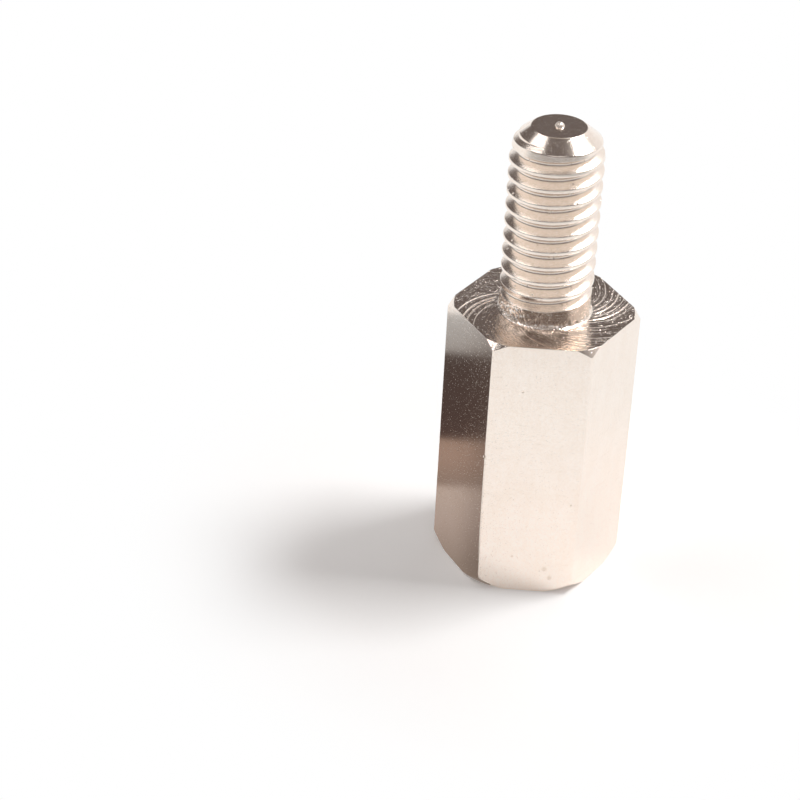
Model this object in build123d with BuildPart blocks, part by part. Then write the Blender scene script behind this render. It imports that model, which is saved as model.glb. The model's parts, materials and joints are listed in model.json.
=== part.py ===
"""Male-female hex standoff, turned from one length of drawn hexagonal bar.

Millimetres, +Z up. The origin is the centre of the base face, on the turning axis.
The tapped hole opens downwards through the base and the threaded stud points up.
Both threads are drawn plain: the stud at its crest diameter, the hole at its drilled diameter.
"""

import os
from math import cos, radians, sin, tan

from build123d import *

# Hexagonal bar, with a flat facing the front and corners on the X axis
hex_sides = 6
across_flats = 7.0
hex_length = 12.0
bar_corner_radius = 0.12

# Turned chamfers that take the corners off both ends of the bar
base_corner_chamfer = 0.47
shoulder_corner_chamfer = 0.27
end_chamfer_angle = 47.0

# Stud, sized over the thread crests
stud_diameter = 3.9
stud_length = 8.3
stud_root_fillet = 0.38

# Coned lead-in at the tip of the stud, rounded into the shank, and the pip left by parting off
tip_flat_diameter = 2.26
tip_cone_angle = 38.0
tip_blend_radius = 1.17
pip_diameter = 0.4
pip_height = 0.17

# Blind tapped hole in the base
bore_diameter = 3.3
bore_depth = 9.0
drill_point_angle = 118.0
countersink_diameter = 5.2
countersink_angle = 90.0

# How far a cutting profile passes the surface that it cuts
cut_overrun = 1.0

# Radii and heights that follow from the sizes above
hex_polygon = RegularPolygon(across_flats / 2, hex_sides, major_radius=False, mode=Mode.PRIVATE)
corner_radius = hex_polygon.radius
stud_radius = stud_diameter / 2
tip_flat_radius = tip_flat_diameter / 2
tip_plane = hex_length + stud_length
blend_turn = radians(90 - tip_cone_angle)
blend_width = tip_blend_radius * (1 - cos(blend_turn))
blend_length = tip_blend_radius * sin(blend_turn)
tip_cone_width = stud_radius - blend_width - tip_flat_radius
tip_cone_length = tip_cone_width * tan(radians(tip_cone_angle))
bore_radius = bore_diameter / 2
drill_point_height = bore_radius / tan(radians(drill_point_angle / 2))

with BuildPart() as standoff:
    # Hexagonal bar with the slightly soft corners of drawn stock
    with BuildSketch() as bar_section:
        RegularPolygon(across_flats / 2, hex_sides, major_radius=False)
        fillet(bar_section.vertices(), bar_corner_radius)
    extrude(amount=hex_length)

    # Coned turning at both ends, which meets the flats in shallow scallops
    with BuildSketch(Plane.XZ):
        with BuildLine():
            cone_reach = corner_radius + cut_overrun
            cone_slope = tan(radians(end_chamfer_angle))
            base_rise = (base_corner_chamfer + cut_overrun) * cone_slope
            shoulder_drop = (shoulder_corner_chamfer + cut_overrun) * cone_slope
            Polyline(
                (0, 0),
                (corner_radius - base_corner_chamfer, 0),
                (cone_reach, base_rise),
                (cone_reach, hex_length - shoulder_drop),
                (corner_radius - shoulder_corner_chamfer, hex_length),
                (0, hex_length),
                close=True,
            )
        make_face()
    revolve(axis=Axis.Z, mode=Mode.INTERSECT)

    # Stud turned down from the bar, with its coned lead-in and parting pip
    with BuildSketch(Plane.XZ):
        with BuildLine():
            cone_start = tip_plane - tip_cone_length
            shank = Line((stud_radius, hex_length), (stud_radius, cone_start - blend_length))
            blend = TangentArc(shank @ 1, (stud_radius - blend_width, cone_start), tangent=(0, 1))
            lead_in = Line(blend @ 1, (tip_flat_radius, tip_plane))
            tip_face = Line(lead_in @ 1, (pip_diameter / 2, tip_plane))
            pip = TangentArc((0, tip_plane + pip_height), tip_face @ 1, tangent=(1, 0))
            Polyline(pip @ 0, (0, hex_length), shank @ 0)
        make_face()
    revolve(axis=Axis.Z)

    # Tool-nose fillet where the stud meets the shoulder
    shoulder_circles = standoff.edges().filter_by(GeomType.CIRCLE).filter_by_position(
        Axis.Z, hex_length, hex_length
    )
    fillet(shoulder_circles.sort_by(SortBy.RADIUS)[0], stud_root_fillet)

    # Tapped hole, drilled from below, with a countersunk mouth
    with Locations(Plane.XY.rotated((180, 0, 0))):
        CounterSinkHole(bore_radius, countersink_diameter / 2, bore_depth, countersink_angle)

    # Conical end left by the drill
    with Locations((0, 0, bore_depth)):
        Cone(
            bore_radius,
            0,
            drill_point_height,
            align=(Align.CENTER, Align.CENTER, Align.MIN),
            mode=Mode.SUBTRACT,
        )

standoff.part.label = "standoff"

os.makedirs("parts", exist_ok=True)
export_step(standoff.part, "parts/standoff.step")

across_corners = 2 * corner_radius
print(f"standoff: {across_flats} across flats, {across_corners:.2f} across sharp corners")
print(f"overall height {tip_plane + pip_height:.2f}, volume {standoff.part.volume:.1f}")
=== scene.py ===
# %% [markdown]
# # A hex standoff, from drawn bar to finished part
# A standoff holds a circuit board a set distance away from a panel. This one is turned from
# hexagon brass bar: a threaded stud stands on one end, a tapped hole goes into the other, and
# the whole part is then plated with nickel. The imported model gives its sizes, so the script
# loads that first and reads its box.

# %% Load the imported model
import json
import random
from math import atan2, cos, degrees, hypot, pi, radians, sin, tan

import bpy
from mathutils import Matrix, Vector, noise


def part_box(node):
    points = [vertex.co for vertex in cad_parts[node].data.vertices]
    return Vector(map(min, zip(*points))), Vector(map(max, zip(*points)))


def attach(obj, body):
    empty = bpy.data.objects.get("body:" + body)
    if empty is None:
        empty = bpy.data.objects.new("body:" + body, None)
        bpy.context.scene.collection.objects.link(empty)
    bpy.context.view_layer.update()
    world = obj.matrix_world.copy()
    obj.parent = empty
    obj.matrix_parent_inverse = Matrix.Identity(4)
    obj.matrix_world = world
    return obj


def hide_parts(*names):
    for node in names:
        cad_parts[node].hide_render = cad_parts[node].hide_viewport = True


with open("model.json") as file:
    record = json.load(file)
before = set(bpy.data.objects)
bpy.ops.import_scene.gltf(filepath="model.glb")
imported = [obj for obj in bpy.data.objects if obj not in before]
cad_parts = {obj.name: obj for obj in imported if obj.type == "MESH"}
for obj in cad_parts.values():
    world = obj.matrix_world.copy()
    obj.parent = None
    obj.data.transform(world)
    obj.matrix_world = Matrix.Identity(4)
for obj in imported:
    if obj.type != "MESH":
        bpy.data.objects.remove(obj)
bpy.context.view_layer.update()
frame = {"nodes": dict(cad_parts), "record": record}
print("packed nodes:", sorted(frame["nodes"]))

# %% [markdown]
# ## Sizes
# Modelling at the real size in metres would leave every distance a tiny fraction, so the
# part is modelled a thousand times larger, with one unit for one millimetre, and is shrunk
# at the end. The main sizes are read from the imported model, so that the two can't disagree.
# The small ones that it doesn't state, such as the chamfers, are named where they are needed.

# %% Sizes in millimetres
MM = 1000.0
low, high = (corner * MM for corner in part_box("standoff"))
mounts = {mount["name"]: mount for mount in frame["record"]["mounts"]}


def span(name):
    """Lowest and highest level of a round mount's straight wall."""
    middle = mounts[name]["pos_m"][2] * MM
    half = mounts[name]["dims"]["length_mm"] / 2
    return middle - half, middle + half


across_flats = high.y - low.y
hex_sides = 6
sharp_corner = across_flats / 2 / cos(pi / hex_sides)
shoulder_level = mounts["shoulder"]["pos_m"][2] * MM
stud_radius = mounts["stud"]["dims"]["r_mm"]
fillet_top = span("stud")[0]
bore_radius = mounts["tapped_hole"]["dims"]["r_mm"]
countersink_level, bore_end = span("tapped_hole")
pip_height, pip_radius = 0.17, 0.2
tip_level = high.z - pip_height
print(f"hexagon {across_flats:.2f} across flats")
print(f"shoulder at {shoulder_level:.2f}, tip at {tip_level:.2f}")

# %% [markdown]
# ## The drawn bar
# Hexagon bar is pulled through a die, which leaves long flats and slightly rounded corners.
# It could be drawn as an outline and extruded, but a six-sided cylinder is that bar already.
# It stands on the level of the base and is longer than the part at the top, where the lathe
# trims it. The six long edges are bevelled, and then the rim of the lower end, while the mesh
# is still this simple, because a bevel after the cuts can leave gaps. The bar brings its own
# finish, so that the flats can be told from the turned faces later.

# %% Draw the bar
end_allowance = 1.0
corner_rounding, base_rounding = 0.12, 0.05
rounding_steps = 6
half_corner = radians(90 - 180 / hex_sides)


def start_object(name, finish):
    """Name the primitive that was just added, and give it the finish of its faces."""
    piece = bpy.context.object
    piece.name = piece.data.name = name
    piece.data.materials.append(finish)
    return piece


def edit(piece):
    """Open a piece in edit mode, with nothing selected in it."""
    bpy.ops.object.select_all(action="DESELECT")
    piece.select_set(True)
    bpy.context.view_layer.objects.active = piece
    bpy.ops.object.mode_set(mode="EDIT")
    bpy.ops.mesh.select_all(action="DESELECT")


def done():
    """Leave edit mode."""
    bpy.ops.object.mode_set(mode="OBJECT")


def round_edges(piece, chosen, width):
    """Bevel the edges whose two ends, given as vectors, pass a test."""
    edit(piece)
    bpy.ops.mesh.select_mode(type="EDGE")
    done()
    for edge in piece.data.edges:
        edge.select = chosen(*(piece.data.vertices[i].co for i in edge.vertices))
    bpy.ops.object.mode_set(mode="EDIT")
    bpy.ops.mesh.bevel(offset=width, segments=rounding_steps, affect="EDGES")
    done()


drawn_flats = bpy.data.materials.new("drawn_flats")
bar_length = high.z + end_allowance
half_length = bar_length / 2
bpy.ops.object.select_all(action="DESELECT")
bpy.ops.mesh.primitive_cylinder_add(
    vertices=hex_sides, radius=sharp_corner, depth=bar_length,
    location=(0, 0, half_length), rotation=(0, 0, pi / hex_sides))
bpy.ops.object.transform_apply(location=True, rotation=True, scale=True)
bar = start_object("plated_standoff", drawn_flats)
round_edges(bar, lambda a, b: abs(a.z - b.z) > half_length, corner_rounding / tan(half_corner))
round_edges(bar, lambda a, b: max(a.z, b.z) < half_length, base_rounding)
print("bar faces:", len(bar.data.polygons))

# %% [markdown]
# ## The turned form
# On the lathe everything else is round about one axis: the drill point and bore, the
# countersink, the coned ends, the shoulder, the short neck above it, and the stud with its
# coned lead-in and the pip that parting off leaves. So one half section is drawn as a line,
# point by point, and spun round the axis, as the bar spins against the tools. Cylinders and
# cones would need a cut for each. The line passes below the base, so that the end of the bar
# stays the base face. The shoulder and the neck get many rings of points, because the marks of
# the tools go into them next.

# %% Half section of the turned form
drill_point_angle, countersink_angle, end_cone_angle = 118, 90, 47
base_corner_chamfer, shoulder_corner_chamfer = 0.47, 0.27
base_allowance = 0.2
tip_flat_radius, tip_cone_end = 1.13, 1.76
tip_cone_angle, rim_rounding = 38, 0.12
shank_turn, shank_taper = 0.10, 12
neck_radius, foot_rounding = 1.90, 0.13
neck_straight, neck_end = 0.6, 13.4
shoulder_rings, neck_rows = 24, 14
foot_steps, lead_in_steps, rim_steps, pip_steps = 8, 10, 4, 6
up, inward, down = 90, 180, 270
outside = sharp_corner + end_allowance


def arc(centre, radius, start, end, steps):
    """Points along an arc in the half section, its angles in degrees from outward to up."""
    angles = (radians(start + (end - start) * i / steps) for i in range(steps + 1))
    return [(centre[0] + radius * cos(a), centre[1] + radius * sin(a)) for a in angles]


fillet_edge = neck_radius + foot_rounding
foot_top = shoulder_level + foot_rounding
neck_top = fillet_top + neck_straight
row_gap = (neck_top - foot_top) / neck_rows
cone_normal = 90 - tip_cone_angle
cone_end_level = tip_level - (tip_cone_end - tip_flat_radius) * tan(radians(tip_cone_angle))
turn_centre = (tip_cone_end - shank_turn * cos(radians(cone_normal)),
               cone_end_level - shank_turn * sin(radians(cone_normal)))
lead_in = arc(turn_centre, shank_turn, shank_taper, cone_normal, lead_in_steps)
lead_in_level = lead_in[0][1] - (stud_radius - lead_in[0][0]) / tan(radians(shank_taper))
rim_centre = (tip_flat_radius - rim_rounding * tan(radians(tip_cone_angle / 2)),
              tip_level - rim_rounding)
pip_sphere = (pip_radius**2 + pip_height**2) / (2 * pip_height)
pip_start = degrees(atan2(pip_sphere - pip_height, pip_radius))
cone_slope = tan(radians(end_cone_angle))
base_ring = sharp_corner - base_corner_chamfer
shoulder_ring = sharp_corner - shoulder_corner_chamfer
ring_gap = (shoulder_ring - fillet_edge) / shoulder_rings
drill_point = bore_radius / tan(radians(drill_point_angle / 2))
countersink_flare = countersink_level * tan(radians(countersink_angle / 2))
half_section = [
    (0, bore_end + drill_point), (bore_radius, bore_end), (bore_radius, countersink_level),
    (bore_radius + countersink_flare + base_allowance, -base_allowance),
    (base_ring - base_allowance / cone_slope, -base_allowance),
    (outside, (outside - base_ring) * cone_slope),
    (outside, shoulder_level - (outside - shoulder_ring) * cone_slope),
    *((shoulder_ring - ring_gap * i, shoulder_level) for i in range(shoulder_rings)),
    *arc((fillet_edge, foot_top), foot_rounding, down, inward, foot_steps),
    *((neck_radius, foot_top + row_gap * i) for i in range(1, neck_rows + 1)),
    (stud_radius, neck_end),
    (stud_radius, lead_in_level), *lead_in,
    *arc(rim_centre, rim_rounding, cone_normal, up, rim_steps),
    *arc((0, high.z - pip_sphere), pip_sphere, pip_start, up, pip_steps)]
print("points in the half section:", len(half_section))

# %% Spin it
spin_steps = 400
seam_gap = 0.0001


def trace(name, finish, points):
    """One vertex, extruded from point to point: a line in the half section."""
    bpy.ops.object.select_all(action="DESELECT")
    bpy.ops.mesh.primitive_plane_add(size=1)
    piece = start_object(name, finish)
    edit(piece)
    bpy.ops.mesh.select_mode(type="VERT")
    bpy.ops.mesh.select_all(action="SELECT")
    bpy.ops.mesh.merge(type="CENTER")
    bpy.ops.transform.translate(value=(points[0][0], 0, points[0][1]))
    for (r, z), (next_r, next_z) in zip(points, points[1:]):
        move = {"value": (next_r - r, 0, next_z - z)}
        bpy.ops.mesh.extrude_region_move(TRANSFORM_OT_translate=move)
    return piece


def close_seams():
    """Merge the vertices that meet, and turn every face outwards."""
    bpy.ops.mesh.select_all(action="SELECT")
    bpy.ops.mesh.remove_doubles(threshold=seam_gap)
    bpy.ops.mesh.normals_make_consistent(inside=False)


turned_faces = bpy.data.materials.new("turned_faces")
turned = trace("turned_form", turned_faces, half_section)
bpy.ops.mesh.select_all(action="SELECT")
bpy.ops.mesh.spin(steps=spin_steps, angle=2 * pi, center=(0, 0, 0), axis=(0, 0, 1))
close_seams()
done()
print("turned form faces:", len(turned.data.polygons))

# %% [markdown]
# ## The facing marks
# The tool that cut the shoulder crossed it while the bar turned, and left a swirl of fine
# curved scratches, some of them deep enough to catch the light as bright arcs. A bump alone
# would vanish from the side, so the marks go into the mesh. Each ring of points on the
# shoulder is first turned a little further than the ring inside it, which lays the mesh
# lines along the swirl, and then whole lines are pressed down by their own depth, each over
# its own stretch. The draws are seeded, so every run gives the same shoulder.

# %% Press the swirl into the shoulder
swirl_pitch = 2.3
fade_width = 0.16
fine_depths = (0.0005, 0.001, 0.001, 0.002, 0.002, 0.003, 0.005, 0.008)
least_share = 0.6
first_begin, last_begin = -0.1, 0.5
shortest, longest = 0.5, 1.6
deep_arcs = {
    14: 0.010, 7: 0.018, -3: 0.012, -10: 0.020, -18: 0.012, -26: 0.020, -33: 0.010, -48: 0.010,
    -75: 0.012, -96: 0.010, -120: 0.012, 40: 0.014, 152: 0.016, 163: 0.026, 169: 0.022, 178: 0.014}
side_share, arc_overlap = 0.3, 0.05
marks = random.Random(5)


def fade(value, start, end):
    """Smooth step from 0 to 1 between two values."""
    t = min(max((value - start) / (end - start), 0), 1)
    return t * t * (3 - 2 * t)


swirl = []
for _ in range(spin_steps):
    depth = marks.choice(fine_depths)
    begin = fillet_edge + marks.uniform(first_begin, last_begin)
    stop = begin + marks.uniform(shortest, longest)
    swirl.append((depth * marks.uniform(least_share, 1), begin, stop))
for angle, depth in deep_arcs.items():
    middle = round(angle / 360 * spin_steps)
    for side, share in ((-1, side_share), (0, 1), (1, side_share)):
        column = (middle + side) % spin_steps
        swirl[column] = (depth * share, fillet_edge - arc_overlap, shoulder_ring)

for vertex in turned.data.vertices:
    x, y, z = vertex.co
    r = hypot(x, y)
    if shoulder_level / 2 < z < shoulder_level + seam_gap and r > fillet_edge - seam_gap:
        start_angle = atan2(y, x)
        depth, begin, stop = swirl[round(start_angle / (2 * pi) * spin_steps) % spin_steps]
        angle = start_angle + (min(r, shoulder_ring) - fillet_edge) / swirl_pitch
        ended = fade(r, stop - fade_width, stop + fade_width)
        on_mark = fade(r, begin, begin + fade_width) * (1 - ended)
        on_face = 0
        if r < shoulder_ring + seam_gap:
            on_face = fade(r, fillet_edge, fillet_edge + fade_width)
        vertex.co = (r * cos(angle), r * sin(angle), z - depth * on_mark * on_face)
print(f"swirl of {spin_steps} marks, the deepest {max(depth for depth, _, _ in swirl):.3f} mm")

# %% [markdown]
# ## The torn foot
# Where the stud meets the shoulder, the tool dragged the brass more than it cut it, so the neck
# is lumpy, most of all at its very foot and on its front left. It could be sculpted by hand.
# Noise is quicker and comes out the same each run, so the rows of points on the neck are pushed
# in and out by a coarse and a fine noise. The shoulder then gets a finish of its own.

# %% Tear the foot of the stud
tear_depth, tear_height, tear_fade = 0.11, 0.95, 0.5
coarse_share, coarse_tears = 0.55, 4
fine_share, fine_tears = 0.45, 10
all_round, at_the_foot, on_the_side = 0.12, 0.9, 0.9
foot_fade = 0.15
left_fade, front_fade = (0.55, 1.3), (-0.4, 0.5)
tear_top = shoulder_level + tear_height

for vertex in turned.data.vertices:
    x, y, z = vertex.co
    r = hypot(x, y)
    if shoulder_level + seam_gap < z < tear_top and neck_radius - seam_gap < r < fillet_edge:
        coarse = noise.noise((coarse_tears * x, coarse_tears * y, coarse_tears * z))
        fine = noise.noise((fine_tears * x, fine_tears * y, fine_tears * z))
        tear = coarse_share * coarse + fine_share * fine
        to_side = fade(-x, *left_fade) * fade(-y, *front_fade)
        at_foot = 1 - fade(z, foot_top, foot_top + foot_fade)
        share = fade(z, shoulder_level, foot_top) * (1 - fade(z, tear_top - tear_fade, tear_top))
        torn = all_round + at_the_foot * at_foot + on_the_side * to_side
        move = tear_depth * tear * share * torn
        vertex.co = (x * (1 + move / r), y * (1 + move / r), z)

facing_margin, facing_height = 0.1, 0.2
faced_shoulder = bpy.data.materials.new("faced_shoulder")
turned.data.materials.append(faced_shoulder)
faced = 0
for face in turned.data.polygons:
    level = face.center.z - shoulder_level
    reach = hypot(face.center.x, face.center.y)
    if -facing_margin < level < facing_height and stud_radius - facing_margin < reach < shoulder_ring:
        face.material_index = turned.data.materials.find(faced_shoulder.name)
        faced += 1
print("faces on the shoulder:", faced)

# %% [markdown]
# ## Turning the bar
# The lathe leaves only what lies inside the turned form. A Boolean modifier does the same: the
# intersection keeps the flats where the bar is the narrower of the two and the turned faces
# everywhere else, so the coned ends meet the flats in shallow scallops by themselves. Each face
# keeps the finish of the piece that it came from. Only the base face, which is the end of the
# bar but was faced on the lathe, is given the turned finish afterwards.

# %% Turn the bar


def cut(piece, tool, operation):
    """Combine two pieces with a Boolean modifier, apply it, and clear the tool away."""
    change = piece.modifiers.new(tool.name, "BOOLEAN")
    change.operation = operation
    change.solver = "EXACT"
    change.material_mode = "TRANSFER"
    change.object = tool
    bpy.ops.object.select_all(action="DESELECT")
    piece.select_set(True)
    bpy.context.view_layer.objects.active = piece
    bpy.ops.object.modifier_apply(modifier=change.name)
    bpy.data.objects.remove(tool)


cut(bar, turned, "INTERSECT")
for face in bar.data.polygons:
    if face.center.z < seam_gap:
        face.material_index = bar.data.materials.find(turned_faces.name)
print("turned bar faces:", len(bar.data.polygons))

# %% [markdown]
# ## The threads
# A thread is one groove wound round the part like a staircase. Drawing every turn would be
# hopeless, so the section of the groove is drawn once, as the point of the threading tool,
# and the Screw modifier sweeps it up round the axis by one pitch for each turn. Taking that
# long coil away from the stud leaves the ridges. The sizes are those of an M4 thread with a
# pitch of 0.7 mm: flanks 60 degrees apart, a rounded root, and flat crests with soft edges.

# %% Section of the stud's groove
pitch, thread_radius = 0.7, 2.0
flank_tilt = 30
flank_angle, flank_normal = radians(flank_tilt), 90 - flank_tilt
crest_softness, crest_turn = 0.05, 50
crest_start = 360 - flank_normal
tool_overreach, crest_clearance = 0.3, 0.004
root_steps, crest_steps = 5, 4

sharp_height = pitch / 2 / tan(flank_angle)
pitch_radius = thread_radius - sharp_height * 3 / 8
groove_point = pitch_radius - pitch / 4 / tan(flank_angle)
root_rounding = sharp_height / 6
root_radius = groove_point + root_rounding
root_centre = groove_point + root_rounding / sin(flank_angle)
flank_end = (stud_radius - groove_point) * tan(flank_angle)
crest_centre = stud_radius - crest_softness
crest_offset = flank_end + crest_softness * tan((pi / 2 - flank_angle) / 2)
upper_half = [
    *arc((root_centre, 0), root_rounding, inward, inward - flank_normal, root_steps),
    *arc((crest_centre, crest_offset), crest_softness, crest_start, crest_start + crest_turn,
         crest_steps)]
crest_r, crest_z = upper_half[-1]
leave_r = stud_radius + crest_clearance
leave_z = crest_z + (leave_r - crest_r) / tan(radians(flank_normal - crest_turn))
upper_half += [(leave_r, leave_z), (stud_radius + tool_overreach, leave_z)]
groove = [(r, -z) for r, z in reversed(upper_half)] + upper_half[1:]
print(f"groove {stud_radius - root_radius:.3f} deep, {2 * leave_z:.3f} wide at the crest")

# %% [markdown]
# ## Cutting the stud
# The groove doesn't stop dead at the neck: the tool is drawn back while the bar still turns, so
# over a bit more than half a turn it grows shallower and leaves the metal. A wound coil ends
# square, so its lower end is extruded on along the helix in small steps, each further out.
# The coil is also turned about the axis first, because that sets where the full depth begins.

# %% Wind the coil and cut the stud
turn_steps = 96
groove_level, full_depth_from = 13.219, radians(-105)
stud_turns, stud_run_out = 11, 58
run_out_clearance = 0.03


def wind(name, finish, section, level, turns):
    """Close a section, lift it to its level, and wind it up round the axis into a coil."""
    lifted = [(r, z + level) for r, z in section]
    coil = trace(name, finish, lifted + lifted[:1])
    close_seams()
    done()
    sweep = coil.modifiers.new("sweep", "SCREW")
    sweep.axis = "Z"
    sweep.angle = 2 * pi
    sweep.screw_offset = pitch
    sweep.iterations = turns
    sweep.steps = sweep.render_steps = turn_steps
    bpy.ops.object.modifier_apply(modifier=sweep.name)
    edit(coil)
    bpy.ops.mesh.select_mode(type="FACE")
    bpy.ops.mesh.select_all(action="SELECT")
    bpy.ops.mesh.fill_holes(sides=0)
    close_seams()
    done()
    return coil


def run_out(coil, at_top, steps, from_radius, to_radius):
    """Carry one end of a coil on along its helix, while its point moves off the part."""
    ends = sorted(coil.data.polygons, key=lambda face: -len(face.vertices))[:2]
    ends.sort(key=lambda face: face.center.z)
    chosen = ends[1 if at_top else 0].index
    edit(coil)
    done()
    coil.data.polygons[chosen].select = True
    bpy.ops.object.mode_set(mode="EDIT")
    way = 1 if at_top else -1
    climb = {"value": (0, 0, way * pitch / turn_steps)}
    turn = -way * 2 * pi / turn_steps
    scale = (to_radius / from_radius) ** (1 / steps)
    for _ in range(steps):
        bpy.ops.mesh.extrude_region_move(TRANSFORM_OT_translate=climb)
        bpy.ops.transform.rotate(value=turn, orient_axis="Z", center_override=(0, 0, 0))
        bpy.ops.transform.resize(value=(scale, scale, 1), center_override=(0, 0, 0))
    close_seams()
    done()


threads = bpy.data.materials.new("threads")
first_level = groove_level + pitch * full_depth_from / (2 * pi)
stud_coil = wind("stud_coil", threads, groove, first_level, stud_turns)
stud_coil.rotation_euler.z = full_depth_from
bpy.ops.object.transform_apply(location=False, rotation=True, scale=False)
run_out(stud_coil, False, stud_run_out, root_radius, stud_radius + run_out_clearance)
print("coil faces:", len(stud_coil.data.polygons))
cut(bar, stud_coil, "DIFFERENCE")
print("threaded bar faces:", len(bar.data.polygons))

# %% [markdown]
# ## The tapped hole
# A tap cuts the matching thread into the wall of the drilled hole. It is made by a second coil,
# whose point faces outwards. The coil starts below the base, so that the thread opens into the
# countersink, and runs out short of the end of the bore, because a tap can't reach the bottom
# of a blind hole.

# %% Tap the hole
tap_start, tap_turns, tap_run_out = -0.6, 12, 48
tap_steps = 4
hole_point = pitch_radius + pitch / 4 / tan(flank_angle)
tap_rounding = sharp_height / 12
tap_centre = hole_point - tap_rounding / sin(flank_angle)
tap_back = bore_radius - tool_overreach
tap_leave = bore_radius - crest_clearance
tap_half_width = (hole_point - tap_leave) * tan(flank_angle)
tap_groove = [
    (tap_back, -tap_half_width), (tap_leave, -tap_half_width),
    *arc((tap_centre, 0), tap_rounding, -flank_normal, flank_normal, tap_steps),
    (tap_leave, tap_half_width), (tap_back, tap_half_width)]
tap_coil = wind("tap_coil", threads, tap_groove, tap_start, tap_turns)
run_out(tap_coil, True, tap_run_out, hole_point - tap_rounding, bore_radius - run_out_clearance)
cut(bar, tap_coil, "DIFFERENCE")
print("tapped bar faces:", len(bar.data.polygons))

# %% [markdown]
# ## Smooth shading and the real size
# Round faces are shaded smooth and real edges stay crisp, which shade_smooth_by_angle sorts
# out by the angle between faces. The weighted normals keep the large flats truly flat beside
# their rounded corners. Then the part shrinks from millimetres to metres, takes its place on
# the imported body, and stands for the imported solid, whose threads are plain.

# %% Smooth the round faces and shrink to metres
crease_angle = 16
edit(bar)
close_seams()
done()
bpy.ops.object.shade_smooth_by_angle(angle=radians(crease_angle))
even = bar.modifiers.new("even_shading", "WEIGHTED_NORMAL")
even.keep_sharp = True
bpy.ops.object.modifier_apply(modifier=even.name)
bar.scale = (1 / MM,) * 3
bpy.ops.object.transform_apply(location=True, rotation=True, scale=True)
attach(bar, "root")
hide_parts("standoff")
print("triangles:", sum(len(face.vertices) - 2 for face in bar.data.polygons))
print("finishes:", [slot.name for slot in bar.material_slots])

# %% [markdown]
# ## Writing a finish
# A finish is a small sum: streaks plus specks plus scratches. Placing every Math node by hand
# would hide that sum, so one class stands for a value on the surface. Adding or multiplying
# such values adds the Math nodes, and any other node comes from its one method, which sets
# the node's settings first and its sockets after.

# %% Values on a surface


class Surface:
    """A value that changes over a surface: one output socket in a node tree."""

    def __init__(self, tree, socket=None):
        self.tree, self.socket = tree, socket

    def node(self, kind, settings, sockets, output=0):
        """Add a node, set it up, link or set its sockets, and give one of its outputs."""
        made = self.tree.nodes.new("ShaderNode" + kind)
        for name, value in settings.items():
            if name == "stops":
                stops = made.color_ramp.elements
                while len(stops) < len(value):
                    stops.new(0.5)
                for stop, (place, colour) in zip(stops, value):
                    stop.position, stop.color = place, (*colour, 1)
            else:
                setattr(made, name, value)
        for name, value in sockets.items():
            if isinstance(value, Surface):
                self.tree.links.new(value.socket, made.inputs[name])
            else:
                made.inputs[name].default_value = value
        return Surface(self.tree, made.outputs[output] if made.outputs else None)

    def maths(self, operation, first, second):
        """Work out one step of a sum from two values."""
        return self.node("Math", {"operation": operation}, {0: first, 1: second})

    def __add__(self, other):
        return self.maths("ADD", self, other)

    def __sub__(self, other):
        return self.maths("SUBTRACT", self, other)

    def __rsub__(self, other):
        return self.maths("SUBTRACT", other, self)

    def __mul__(self, other):
        return self.maths("MULTIPLY", self, other)

    def __truediv__(self, other):
        return self.maths("DIVIDE", self, other)

    __radd__, __rmul__ = __add__, __mul__

    def between(self, low_end, high_end):
        """Smooth step from 0 to 1 while this value goes from one end to the other."""
        ends = {"Value": self, "From Min": low_end, "From Max": high_end}
        return self.node("MapRange", {"interpolation_type": "SMOOTHSTEP"}, ends)

    def axis(self, number):
        """How far this place lies along x, y or z, which are 0, 1 and 2."""
        return self.node("SeparateXYZ", {}, {0: self}, number)

    def along(self, way):
        """How far this place lies in a direction."""
        return self.node("VectorMath", {"operation": "DOT_PRODUCT"}, {0: self, 1: way}, 1)

    def length(self):
        """How far this place lies from the origin."""
        return self.node("VectorMath", {"operation": "LENGTH"}, {0: self}, 1)

    def stretched(self, x, y, z):
        """This place, with its three directions scaled."""
        return self.node("VectorMath", {"operation": "MULTIPLY"}, {0: self, 1: (x, y, z)})

    def cloud(self, detail=2.0, roughness=0.5):
        """Soft noise at this place, from 0 to 1, centred on a half."""
        grain = {"Vector": self, "Scale": 1, "Detail": detail, "Roughness": roughness}
        return self.node("TexNoise", {}, grain)

    def spots(self, radius):
        """Round spots scattered about this place, 1 in their middles and 0 between them."""
        distance = self.node("TexVoronoi", {}, {"Vector": self, "Scale": 1})
        return 1 - distance.between(0, radius)

    def blend(self, first, second):
        """One colour where this value is 0, the other where it is 1."""
        first, second = (end if isinstance(end, Surface) else (*end, 1) for end in (first, second))
        return self.node("Mix", {"data_type": "RGBA"}, {0: self, 6: first, 7: second}, 2)


def place_on(finish):
    """Empty a finish, and start it with the place on the part, in millimetres."""
    finish.use_nodes = True
    finish.node_tree.nodes.clear()
    start = Surface(finish.node_tree)
    metres = start.node("TexCoord", {}, {}, "Object")
    return start.node("VectorMath", {"operation": "SCALE"}, {0: metres, "Scale": MM})


edge_softness, edge_samples = 0.03, 4
pale_nickel, warm_nickel = (0.95, 0.86, 0.785), (0.92, 0.81, 0.715)


def plate(place, colour, roughness, relief):
    """Finish a surface as metal, its relief in millimetres and its edges softened by plating."""
    soft_edge = place.node("Bevel", {"samples": edge_samples}, {"Radius": edge_softness / MM})
    normal = place.node("Bump", {}, {"Distance": 1 / MM, "Height": relief, "Normal": soft_edge})
    metal = place.node("BsdfPrincipled", {}, {
        "Base Color": colour, "Metallic": 1, "Roughness": roughness, "Normal": normal})
    place.node("OutputMaterial", {}, {"Surface": metal})


print("plating from", pale_nickel, "to", warm_nickel)
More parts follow.
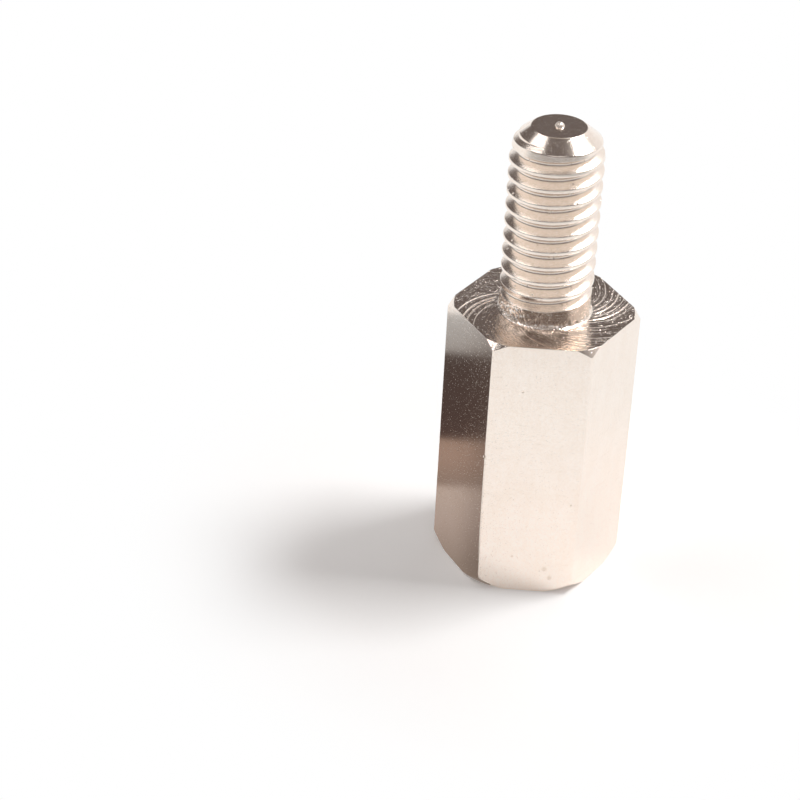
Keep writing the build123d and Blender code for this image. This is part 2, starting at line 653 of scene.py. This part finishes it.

# %% [markdown]
# ## Drawn flats
# The die leaves very faint lines along the bar, and the plating follows the pores of the
# brass, so a clear reflection in a flat is sprinkled with tiny specks. A flat is close to a
# mirror, so most of its relief is only a few thousandths of a millimetre, and the rest is
# roughness: streaks along the bar, a soft unevenness, and scratches from handling. The few
# dents are listed, each as a centre and a radius. They are deeper and a little tan.

# %% Drawn flats
dent_places = (
    ((0.83, -3.5, 1.21), 0.18), ((1.08, -3.5, 0.76), 0.16), ((-2.07, -3.45, 6.6), 0.14),
    ((-0.57, -3.5, 1.76), 0.09), ((1.72, -3.5, 4.56), 0.08), ((-0.67, -3.5, 9.91), 0.08))
dent_steepness, dent_tan = 0.17, 0.6
# the dents are tinted tan
tan_tint = (0.70, 0.58, 0.46)
place = place_on(drawn_flats)
streaks = place.stretched(9, 9, 0.12).cloud(3)
unevenness = place.stretched(1.1, 1.1, 0.7).cloud(2)
peel = place.stretched(5, 5, 4).cloud(2)
fine_peel = place.stretched(13, 13, 10).cloud(3, 0.6)
pores = place.stretched(8.5, 8.5, 7.5).spots(0.20)
fine_pores = place.stretched(16, 16, 14).spots(0.20)
scratches = place.stretched(0.9, 0.9, 26).cloud(1).between(0.70, 0.76)
dents, dent_depth = 0, 0
for centre, radius in dent_places:
    distance = place.node("VectorMath", {"operation": "DISTANCE"}, {0: place, 1: centre}, 1)
    dent = 1 - distance.between(0, radius)
    dents = dents + dent
    dent_depth = dent_depth + dent * (radius * dent_steepness)
relief = (streaks * 0.0004 + unevenness * 0.002 + peel * 0.0012 + fine_peel * 0.0012
          - pores * 0.009 - fine_pores * 0.005 - dent_depth - scratches * 0.0012)
shine = (0.11 + streaks * 0.02 + unevenness * 0.05 + fine_peel * 0.04 + pores * 0.2
         + scratches * 0.08)
mottle = unevenness * 0.25 + streaks * 0.15 + fine_peel * 0.6
tone = mottle.between(0.34, 0.68) + scratches * 0.5
plating = (dents * dent_tan).blend(tone.blend(pale_nickel, warm_nickel), tan_tint)
plate(place, plating, shine, relief)
print("drawn flats:", len(drawn_flats.node_tree.nodes), "nodes")

# %% [markdown]
# ## Turned faces
# A tool that moves along a turning bar cuts one very fine spiral, which reads as rings. On any
# turned face the ring through a point is set by its distance from the axis and its level
# alone, so noise is read there instead of at the point itself, and comes out as rings on the
# cones, the tip and the neck alike. The neck and the coned ends shine a little more than the
# stud above them, and the pip is rough, because it is torn off rather than cut.

# %% Turned faces
ring_fineness = 16
stud_dulling, dulling_length = 0.05, 0.4
torn_from, torn_to = tip_level + pip_height * 0.1, tip_level + pip_height * 0.4
place = place_on(turned_faces)
level = place.axis(2)
from_axis = place.stretched(1, 1, 0).length()
ring = place.node("CombineXYZ", {}, {0: from_axis * ring_fineness, 1: level * ring_fineness})
rings = ring.cloud(2, 0.7)
grain = place.stretched(9, 9, 9).cloud(3)
pits = place.stretched(9, 9, 9).spots(0.27)
torn = level.between(torn_from, torn_to)
duller = stud_dulling * level.between(neck_end, neck_end + dulling_length)
relief = rings * 0.0025 + grain * 0.002 - pits * 0.004 + torn * grain * 0.002
shine = 0.07 + duller + rings * 0.06 + grain * 0.06 + torn * 0.16
plate(place, grain.between(0.3, 0.75).blend(pale_nickel, warm_nickel), shine, relief)
print("turned faces:", len(turned_faces.node_tree.nodes), "nodes")

# %% [markdown]
# ## The faced shoulder
# The mesh already holds the deep marks of the facing tool. The finer ones follow the same
# swirl: the direction from the axis is turned back by as much as the swirl has turned at that
# radius, and noise read at that direction stays nearly the same all along one mark. A coarse
# grain breaks the marks up, because the tool tore the brass here more than it cut it, and it
# is rougher towards the back than in front.

# %% Faced shoulder
mark_fineness, mark_change = 48, 0.9
root_width = 0.35
least_rough, more_rough, rough_from, rough_to = 0.7, 0.7, -2.5, 0.5
place = place_on(faced_shoulder)
flat_place = place.stretched(1, 1, 0)
from_axis = flat_place.length()
heading_out = flat_place.node("VectorMath", {"operation": "NORMALIZE"}, {0: flat_place})
turned_back = place.node("VectorRotate", {"rotation_type": "Z_AXIS"}, {
    "Vector": heading_out, "Angle": from_axis * (-1 / swirl_pitch)})
across_marks = turned_back.stretched(mark_fineness, mark_fineness, 0)
along_mark = place.node("CombineXYZ", {}, {2: from_axis * mark_change})
swirl_place = place.node("VectorMath", {"operation": "ADD"}, {0: across_marks, 1: along_mark})
fine_marks = swirl_place.cloud(3, 0.6)
torn_grain = place.stretched(6.5, 6.5, 6.5).cloud(1.5, 0.5)
specks = place.stretched(17, 17, 17).cloud(2, 0.6)
chips = place.stretched(7, 7, 7).spots(0.27)
lumps = place.stretched(5, 5, 5).cloud(3, 0.6)
at_root = 1 - from_axis.between(fillet_edge, fillet_edge + root_width)
rougher = least_rough + more_rough * place.axis(1).between(rough_from, rough_to)
tool_marks = fine_marks * 0.006 + torn_grain * 0.017 + specks * 0.003 - chips * 0.016
relief = rougher * tool_marks + at_root * lumps * 0.012
shine = 0.09 + fine_marks * 0.05 + torn_grain * 0.08
plate(place, torn_grain.between(0.3, 0.75).blend(pale_nickel, warm_nickel), shine, relief)
print("faced shoulder:", len(faced_shoulder.node_tree.nodes), "nodes")

# %% [markdown]
# ## Threads
# The flanks were cut and then plated, and shine almost as much as the flats. Fine lines run
# round them, nearly level, as the thread does, so their noise is squeezed along the axis only.
# The plating leaves fine specks all over, and small pits here and there.

# %% Threads
place = place_on(threads)
lines = place.stretched(0.7, 0.7, 42).cloud(2)
grain = place.stretched(6, 6, 6).cloud(3)
pits = place.stretched(2.2, 2.2, 2.2).spots(0.15)
specks = place.stretched(15, 15, 15).cloud(3, 0.65)
relief = lines * 0.0012 + grain * 0.004 + specks * 0.0055 - pits * 0.02
shine = 0.15 + grain * 0.09 + specks * 0.06 + pits * 0.3
dull = (grain * 0.5 + specks * 0.5).between(0.35, 0.65) + pits
plate(place, dull.blend(pale_nickel, warm_nickel), shine, relief)
print("threads:", len(threads.node_tree.nodes), "nodes")

# %% [markdown]
# ## The floor
# The part stands on white card that goes on out of sight. Lit by the lamps the card is nearly
# white already. A little glow, which only the camera and mirror-like reflections see, lifts it
# the rest of the way, so that the part's shadow stays and no light is added to the part itself.
# Further out the card fades to plain white. Far in front it is painted dimmer, in reflections
# only: a painted shade that the metal mirrors, which gives the front flat its gentle change of tone.

# %% Floor
floor_size = 4
card_white, card_glow = (0.95, 0.943, 0.94, 1), 0.14
white_from, white_to = 9, 18
near_dim, near_dim_ends = 0.17, (17, 36)
far_dim, far_dim_ends = 0.28, (45, 80)


def ray(start, kind):
    """1 on the light paths of one kind, such as those that come from the camera."""
    return start.node("LightPath", {}, {}, f"Is {kind} Ray")


def in_sight(start):
    """1 where the camera looks, straight or by way of metal or glass."""
    return ray(start, "Camera") + ray(start, "Glossy") + ray(start, "Transmission")


bpy.ops.object.select_all(action="DESELECT")
bpy.ops.mesh.primitive_plane_add(size=floor_size)
white_card = bpy.data.materials.new("white_card")
floor = start_object("floor", white_card)
place = place_on(white_card)
seen = in_sight(place)
lit = place.node("BsdfDiffuse", {}, {"Color": card_white})
glow = place.node("Emission", {}, {"Strength": card_glow})
lifted = place.node("AddShader", {}, {0: lit, 1: glow})
near = place.node("MixShader", {}, {0: seen, 1: lit, 2: lifted})
to_front = 0 - place.axis(1)
# painted shade: the floor far in front is darker, but only in reflections
reflected_shade = near_dim * to_front.between(*near_dim_ends) + far_dim * to_front.between(*far_dim_ends)
tone = 1 - ray(place, "Glossy") * reflected_shade
white_and_painted_shade = place.node("Emission", {}, {"Color": tone.blend((0, 0, 0), (1, 1, 1))})
far_out = place.length().between(white_from, white_to)
card = place.node("MixShader", {}, {0: seen * far_out, 1: near, 2: white_and_painted_shade})
place.node("OutputMaterial", {}, {"Surface": card})
print("floor:", tuple(floor.dimensions))

# %% [markdown]
# ## The room
# Metal looks like metal only when it has something dark to reflect as well as something pale.
# So the room is dark overhead, with a white band low down that is dark at its foot in front,
# and a pale wall on the right that is warmer towards the front. It could be built of planes, but
# the world can be painted by direction alone. Only the camera and mirror-like reflections see
# the painted room. All other light from it is the even dark tone.

# %% Room
dark_room, white_band = (0.14, 0.118, 0.112), (1, 1, 1)
warm_wall, pale_wall = (0.64, 0.605, 0.59), (0.9, 0.88, 0.87)
band_top, foot_front, band_foot = (0.14, 0.24), (0.12, 0.4), (0.06, 0.09)
wall_side, wall_front, wall_top = (0.15, 0.4), (-0.45, -0.15), (0.68, 0.82)
wall_paling = (0.35, 0.7)

room = bpy.data.worlds.new("room")
bpy.context.scene.world = room
room.use_nodes = True
room.node_tree.nodes.clear()
start = Surface(room.node_tree)
direction = start.node("TexCoord", {}, {}, "Generated")
to_right, to_back, upward = (direction.axis(number) for number in range(3))
dark_foot = (0 - to_back).between(*foot_front) * (1 - upward.between(*band_foot))
wall = to_right.between(*wall_side) * to_back.between(*wall_front) * (1 - upward.between(*wall_top))
wall_tone = to_back.between(*wall_paling).blend(warm_wall, pale_wall)
above_band = wall.blend(dark_room, wall_tone)
painted = upward.between(*band_top).blend(dark_foot.blend(white_band, dark_room), above_band)
sky = start.node("Background", {}, {"Color": in_sight(start).blend(dark_room, painted)})
start.node("OutputWorld", {}, {"Surface": sky})
print("room:", len(room.node_tree.nodes), "nodes")

# %% [markdown]
# ## Lamps
# Shiny metal shows its lamps, so each lamp is a panel with the size of the highlight that it
# makes. The key lamp, small and bright on the right, lights the floor and throws the shadow. The
# right softbox whitens the right side of the stud, the front fill draws the white line along the
# crests, the two lamps on the left light the left side, and a dim warm panel hangs overhead.
# Area lamps are given in watts, so the power follows from the brightness wanted and the area.

# %% Lamps
subject = Vector((0, 0, 0.010))
lamp_distance = 0.25
white_light, warm_light = (1, 1, 1), (1, 0.95, 0.83)


def softbox(name, azimuth, elevation, width, height, brightness, colour):
    """A flat lamp that faces the part; azimuth turns from right towards the back."""
    a, e = radians(azimuth), radians(elevation)
    way = Vector((cos(e) * cos(a), cos(e) * sin(a), sin(e)))
    data = bpy.data.lights.new(name, "AREA")
    data.shape = "RECTANGLE"
    data.size, data.size_y = width, height
    data.energy = brightness * pi * width * height
    data.color = colour
    lamp = bpy.data.objects.new(name, data)
    lamp.location = subject + way * lamp_distance
    lamp.rotation_euler = way.to_track_quat("Z", "Y").to_euler()
    lamp.visible_camera = False
    bpy.context.collection.objects.link(lamp)
    print(f"{name}: {data.energy:.2f} W")


softbox("right_softbox", 48, 52, 0.18, 0.11, 1.2, white_light)
softbox("key_lamp", 15, 56, 0.1, 0.06, 21.5, white_light)
softbox("front_fill", -90, 56, 0.16, 0.08, 1.3, white_light)
softbox("left_softbox", 181, 52.5, 0.1325, 0.128, 1.7, white_light)
softbox("left_strip", 144.5, 51.4, 0.0625, 0.04, 1.8, white_light)
softbox("top_panel", 90, 80, 0.24, 0.092, 0.36, warm_light)

# %% [markdown]
# ## A dark card
# Photographers stand a dark card beside shiny things, to give a pale side a dark band that
# shows it is a mirror. The camera sees the left flat at a slant, so what that flat mirrors lies
# to the left and back, and the card stands there. It is folded, with its foot on the floor
# towards the part and its wall upright, and is painted in bands out along the foot and up the
# wall. The bands are painted shade as well as the card's own dark: a painted shadow on the
# foot, darkest beside the part, a painted contact shadow at the foot of the wall, then the dark
# band, and a grey top. Its paint glows at a fixed tone, so no lamp changes it. Its two ends fade
# out. Only reflections see it, and it keeps no light from the part.

# %% Fold the dark card
wall_height, card_width, foot_depth, foot_gap = 9.0, 12.0, 6.0, -2.2
foot_lift = Vector((0, 0, 0.02))
flat_turn = pi / hex_sides
flat_middle = Vector((-cos(flat_turn), -sin(flat_turn), 0)) * across_flats / 2
card_way = Vector((-cos(flat_turn), sin(flat_turn), 0))
card_paint = bpy.data.materials.new("card_paint")
bpy.ops.object.select_all(action="DESELECT")
bpy.ops.mesh.primitive_plane_add(
    size=1, location=flat_middle + card_way * (foot_gap + foot_depth) / 2 + foot_lift,
    rotation=(0, 0, atan2(card_way.y, card_way.x)))
dark_card = start_object("dark_card", card_paint)
dark_card.scale = (foot_depth - foot_gap, card_width, 1)
bpy.ops.object.transform_apply(location=True, rotation=True, scale=True)
edit(dark_card)
done()
corners = dark_card.data.vertices
far_edge = max(dark_card.data.edges, key=lambda edge: sum(
    card_way.dot(corners[i].co) for i in edge.vertices))
far_edge.select = True
raise_wall = {"value": (0, 0, wall_height)}
bpy.ops.object.mode_set(mode="EDIT")
bpy.ops.mesh.select_mode(type="EDGE")
bpy.ops.mesh.extrude_region_move(TRANSFORM_OT_translate=raise_wall)
done()
dark_card.scale = (1 / MM,) * 3
bpy.ops.object.transform_apply(location=True, rotation=True, scale=True)
for hidden in ("camera", "diffuse", "shadow", "transmission", "volume_scatter"):
    setattr(dark_card, "visible_" + hidden, False)
print("dark card:", [round(side * MM, 2) for side in dark_card.dimensions], "mm")

# %% Paint the dark card
# painted shadow on the foot, painted contact shadow at the foot of the wall, then the dark band and a
# grey top
card_and_shadow_bands = [
    (0, (0.30, 0.25, 0.22)), (0.2, (0.43, 0.36, 0.33)), (0.395, (0.52, 0.44, 0.40)),
    (0.405, (0.26, 0.20, 0.17)), (0.50, (0.36, 0.26, 0.215)), (0.565, (0.37, 0.27, 0.22)),
    (0.572, (0.075, 0.05, 0.045)), (0.858, (0.075, 0.055, 0.05)), (0.878, (0.36, 0.35, 0.345)),
    (0.90, (0.39, 0.385, 0.385)), (1, (0.47, 0.48, 0.49))]
# painted shade: the bands are darkened towards one end of the card
shade_brown, shade_share, shade_ends = (0.1, 0.075, 0.065), 0.45, (2.9, 4.2)
front_end, back_end = (-2, 0.6), (5.6, 8)
place = place_on(card_paint)
out_and_up = place.along(card_way) - flat_middle.dot(card_way) + place.axis(2)
tones = place.node("ValToRGB", {"stops": card_and_shadow_bands}, {0: out_and_up / (foot_depth + wall_height)})
sideways = place.along(Vector((-card_way.y, card_way.x, 0)))
shaded = (sideways.between(*shade_ends) * shade_share).blend(tones, shade_brown)
# the painted tones glow unlit, so the metal mirrors them as painted shade
paint = place.node("Emission", {}, {"Color": shaded})
clear = place.node("BsdfTransparent", {}, {})
solid = sideways.between(*front_end) * (1 - sideways.between(*back_end))
faded = place.node("MixShader", {}, {0: solid, 1: clear, 2: paint})
place.node("OutputMaterial", {}, {"Surface": faded})
print("card paint:", len(card_paint.node_tree.nodes), "nodes")

# %% [markdown]
# ## Camera
# A long lens about eleven centimetres away looks down on the part by about thirty degrees, and
# leans a little, so that the upright part leans the other way in the picture. Blender's camera
# could be aimed by a constraint, but three plain turns say the same and can be read.

# %% Camera
camera_place = Vector((-2.4255, -94.1875, 64.2585)) / MM
heading, tilt, roll = radians(2.057), radians(58.711), radians(3.002)
camera_data = bpy.data.cameras.new("camera")
camera_data.sensor_width = 36
camera_data.lens = 116.207
camera_data.clip_start = 0.001
camera = bpy.data.objects.new("camera", camera_data)
aim = Matrix.Rotation(heading, 4, "Z") @ Matrix.Rotation(tilt, 4, "X") @ Matrix.Rotation(roll, 4, "Z")
camera.matrix_world = Matrix.Translation(camera_place) @ aim
bpy.context.collection.objects.link(camera)
bpy.context.scene.camera = camera
bpy.context.scene.view_settings.view_transform = "Standard"
print("camera", [round(c * MM, 1) for c in camera.location], "mm")
